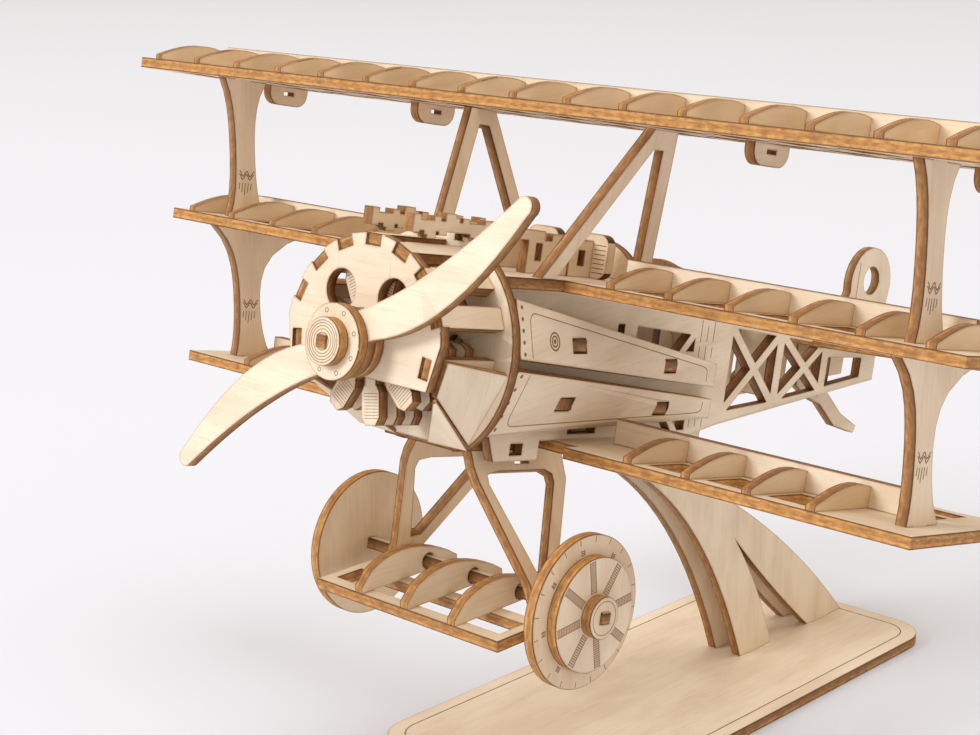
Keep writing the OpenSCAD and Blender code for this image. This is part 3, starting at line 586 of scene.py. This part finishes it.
def fuselage_lines():
    """Three broken lines down the wide post behind the panels."""
    width = 0.24
    for side, towards in SIDES:
        sheet = Sheet(f"fuselage_side_{side}", towards)
        strokes = []
        for k, y in enumerate((119.2, 122.4, 125.6)):
            for high, low in ((10.9 - 1.4 * (k % 2), 4.8), (3.5, 0.4 - 0.6 * (k % 2)), (-17.2, -19.3)):
                strokes.append((sheet, [(y, high), (y, low)], width, False))
        engrave(f"engraved_post_{side}", "airframe", strokes)


def wheel_lines():
    """Laddered spokes, a ring on each hub, and marks and ticks round each rim, on the outer faces."""
    spokes, first_turn, rungs, ticks = 8, 0.35, 14, 20
    ring_width, rail_width, rung_width, mark_width, thin_width = 0.18, 0.22, 0.4, 0.24, 0.2
    rail_aside, rung_half, mark_aside, mark_half = 1.0, 0.86, 0.55, 0.5
    rail_shade, rung_shade = 0.45, 0.9
    for side, towards in SIDES:
        disc = Sheet("spoke_discs", towards)
        hub = Sheet("wheel_hub_discs", towards)
        rim = Sheet("tyre_discs", towards)
        strokes = [(hub, circle(hub.middle, hub.radius * 0.8), ring_width, True)]
        for k in range(spokes):
            turn = math.tau * (k + first_turn) / spokes
            for aside in (-rail_aside, rail_aside):
                rail = spoke_line(disc.middle, turn, hub.radius + 0.2, disc.radius - 0.5, aside)
                strokes.append((disc, rail, rail_width, False, rail_shade))
            for i in range(rungs):
                radius = hub.radius + 0.6 + (disc.radius - hub.radius - 1.4) * i / (rungs - 1)
                step = rung(disc.middle, turn, radius, rung_half)
                strokes.append((disc, step, rung_width, False, rung_shade))
            for aside in (-mark_aside, mark_aside):
                mark = spoke_line(rim.middle, turn, disc.radius + 0.4, disc.radius + 1.9, aside)
                strokes.append((rim, mark, mark_width, False))
            for i in range(3):
                mark = rung(rim.middle, turn, disc.radius + 0.6 + 0.5 * i, mark_half)
                strokes.append((rim, mark, thin_width, False))
        for k in range(ticks):
            tick = spoke_line(rim.middle, math.tau * k / ticks, rim.radius - 1.9, rim.radius - 0.4)
            strokes.append((rim, tick, thin_width, False))
        engrave(f"engraved_wheel_{side}", "wheelset", strokes)


def strut_lines():
    """A waved double groove with short upright cuts under it, twice on each face of each interplane strut."""
    half_wave, wave_steps, swing, groove_gap, groove_width = 2.8, 6, 0.8, 0.9, 0.3
    cut_top, cut_foot, cut_slope, cut_gap, cut_width = -1.8, -5.4, 0.8, 1.1, 0.26
    for side, _ in SIDES:
        strokes = []
        for _, towards in SIDES:
            sheet = Sheet(f"interplane_strut_{side}", towards)
            for z in (32.0, -6.0):
                middle = 63.5 - 0.2 * z  # the strut leans, so its middle moves with the height
                for lift in (0, groove_gap):
                    wave = [(middle + half_wave * (i / wave_steps - 1),
                             z + lift + swing * math.cos(math.tau * i / wave_steps))
                            for i in range(2 * wave_steps + 1)]
                    strokes.append((sheet, wave, groove_width, False))
                for k in range(-2, 3):
                    y = middle + cut_gap * k
                    cut = [(y, z + cut_foot + cut_slope * abs(k)), (y, z + cut_top)]
                    strokes.append((sheet, cut, cut_width, False))
        engrave(f"engraved_strut_{side}", "airframe", strokes)


def gun_lines():
    """Level lines on the face of each gun's cross plate, beside the breech."""
    lines, gap, lowest, width, insets = 7, 1.2, 1.6, 0.24, (4.5, 0.7)
    for side, towards in SIDES:
        plate = Sheet(f"gun_{side}", NOSE, largest=True)
        outer = plate.high[0] if towards is PORT else plate.low[0]
        ends = [outer - towards.x * inset for inset in insets]
        strokes = [(plate, [(x, plate.low[1] + lowest + gap * i) for x in ends], width, False)
                   for i in range(lines)]
        engrave(f"engraved_gun_{side}", "airframe", strokes)


def tail_lines():
    """The hinge lines of the elevator and the rudder."""
    width = 0.22
    strokes = [(Sheet("tailplane", UP), [(-47, y), (47, y)], width, False) for y in (211.6, 212.6)]
    strokes += [(Sheet("rudder", towards), [(214.2, 8.5), (214.2, 30.5)], width, False)
                for _, towards in SIDES]
    engrave("engraved_tail_hinges", "airframe", strokes)


def base_lines():
    """A border with round corners on the stand's base."""
    sheet = Sheet("stand_base", UP)
    inset, radius, steps, width = 4.5, 8.0, 6, 0.35
    (left, front), (right, rear) = [v + inset for v in sheet.low], [v - inset for v in sheet.high]
    border = []
    for quarter, (x, y) in enumerate(((right, rear), (left, rear), (left, front), (right, front))):
        middle = [c - math.copysign(radius, c - m) for c, m in zip((x, y), sheet.middle)]
        for i in range(steps + 1):
            turn = math.tau / 4 * (quarter + i / steps)
            border.append((middle[0] + radius * math.cos(turn), middle[1] + radius * math.sin(turn)))
    engrave("engraved_base_border", "airframe", [(sheet, border, width, True)])


for draw in (propeller_lines, engine_fins, panel_lines, fuselage_lines, wheel_lines, strut_lines,
             gun_lines, tail_lines, base_lines):
    draw()


# ---------- floor, light and camera ----------

def pale_floor():
    g = Graph("pale_floor")
    spots = g.noise(g.add("ShaderNodeNewGeometry").outputs["Position"], 3.0, 3)
    g.link(g.mix(spots, (0.735, 0.77, 0.86), (0.755, 0.79, 0.875)), g.shader.inputs["Base Color"])
    g.shader.inputs["Roughness"].default_value = 0.9
    g.shader.inputs["Specular IOR Level"].default_value = 0.1
    return g.material


def add_floor():
    """A round floor, just below the underside of the base."""
    radius, drop, corners = 9.0, 0.0002, 64
    mesh = bpy.data.meshes.new("floor")
    rim = [(*spot, -drop) for spot in circle((0, 0), radius, corners)]
    mesh.from_pydata(rim, [], [tuple(range(corners))])
    mesh.materials.append(pale_floor())
    add_object("floor", mesh)


def add_light(name, place, target, size, power, colour):
    light = bpy.data.lights.new(name, "AREA")
    light.shape = "DISK"
    light.size = size
    light.energy = power
    light.color = colour
    lamp = add_object(name, light)
    lamp.location = place
    lamp.rotation_euler = (Vector(target) - Vector(place)).to_track_quat("-Z", "Y").to_euler()


def add_world():
    """Warm light from all round, which fills what the two lamps leave in shade."""
    world = bpy.data.worlds.new("studio")
    world.use_nodes = True
    background = world.node_tree.nodes["Background"]
    background.inputs["Color"].default_value = (0.94, 0.835, 0.715, 1)
    background.inputs["Strength"].default_value = 0.86
    bpy.context.scene.world = world


def add_camera():
    """The camera in the aeroplane's frame: turned round the nose, a little above the thrust line, rolled."""
    turn, rise, roll = math.radians(41.5), math.radians(6.0), math.radians(7.8)
    aside, lift, away = -30.9 * MM, 6.0 * MM, 476 * MM
    back = Vector((math.sin(turn) * math.cos(rise), -math.cos(turn) * math.cos(rise), math.sin(rise)))
    right = Vector((math.cos(turn), math.sin(turn), 0))
    up = back.cross(right)
    rolled = Matrix(((math.cos(roll), math.sin(roll), 0), (-math.sin(roll), math.cos(roll), 0), (0, 0, 1)))
    turned = (rolled @ Matrix((right, up, back))).transposed()
    camera = bpy.data.cameras.new("camera")
    camera.lens = 73.47
    camera.sensor_width = 36
    camera.clip_start = 0.01
    viewer = add_object("camera", camera)
    place = turned @ Vector((-aside, -lift, away))
    viewer.matrix_world = PLANE @ (Matrix.Translation(place) @ turned.to_4x4())
    bpy.context.scene.camera = viewer


add_floor()
add_world()
add_light("key", place=(-1.65, -5.1, 3.0), target=(0, 0, 0.12), size=2.1, power=208,
          colour=(0.935, 0.965, 1.0))
add_light("top", place=(0.6, 0.3, 5.7), target=(0, 0, 0.1), size=3.6, power=80,
          colour=(0.96, 0.985, 1.0))
add_camera()
bpy.context.scene.view_settings.view_transform = "Standard"
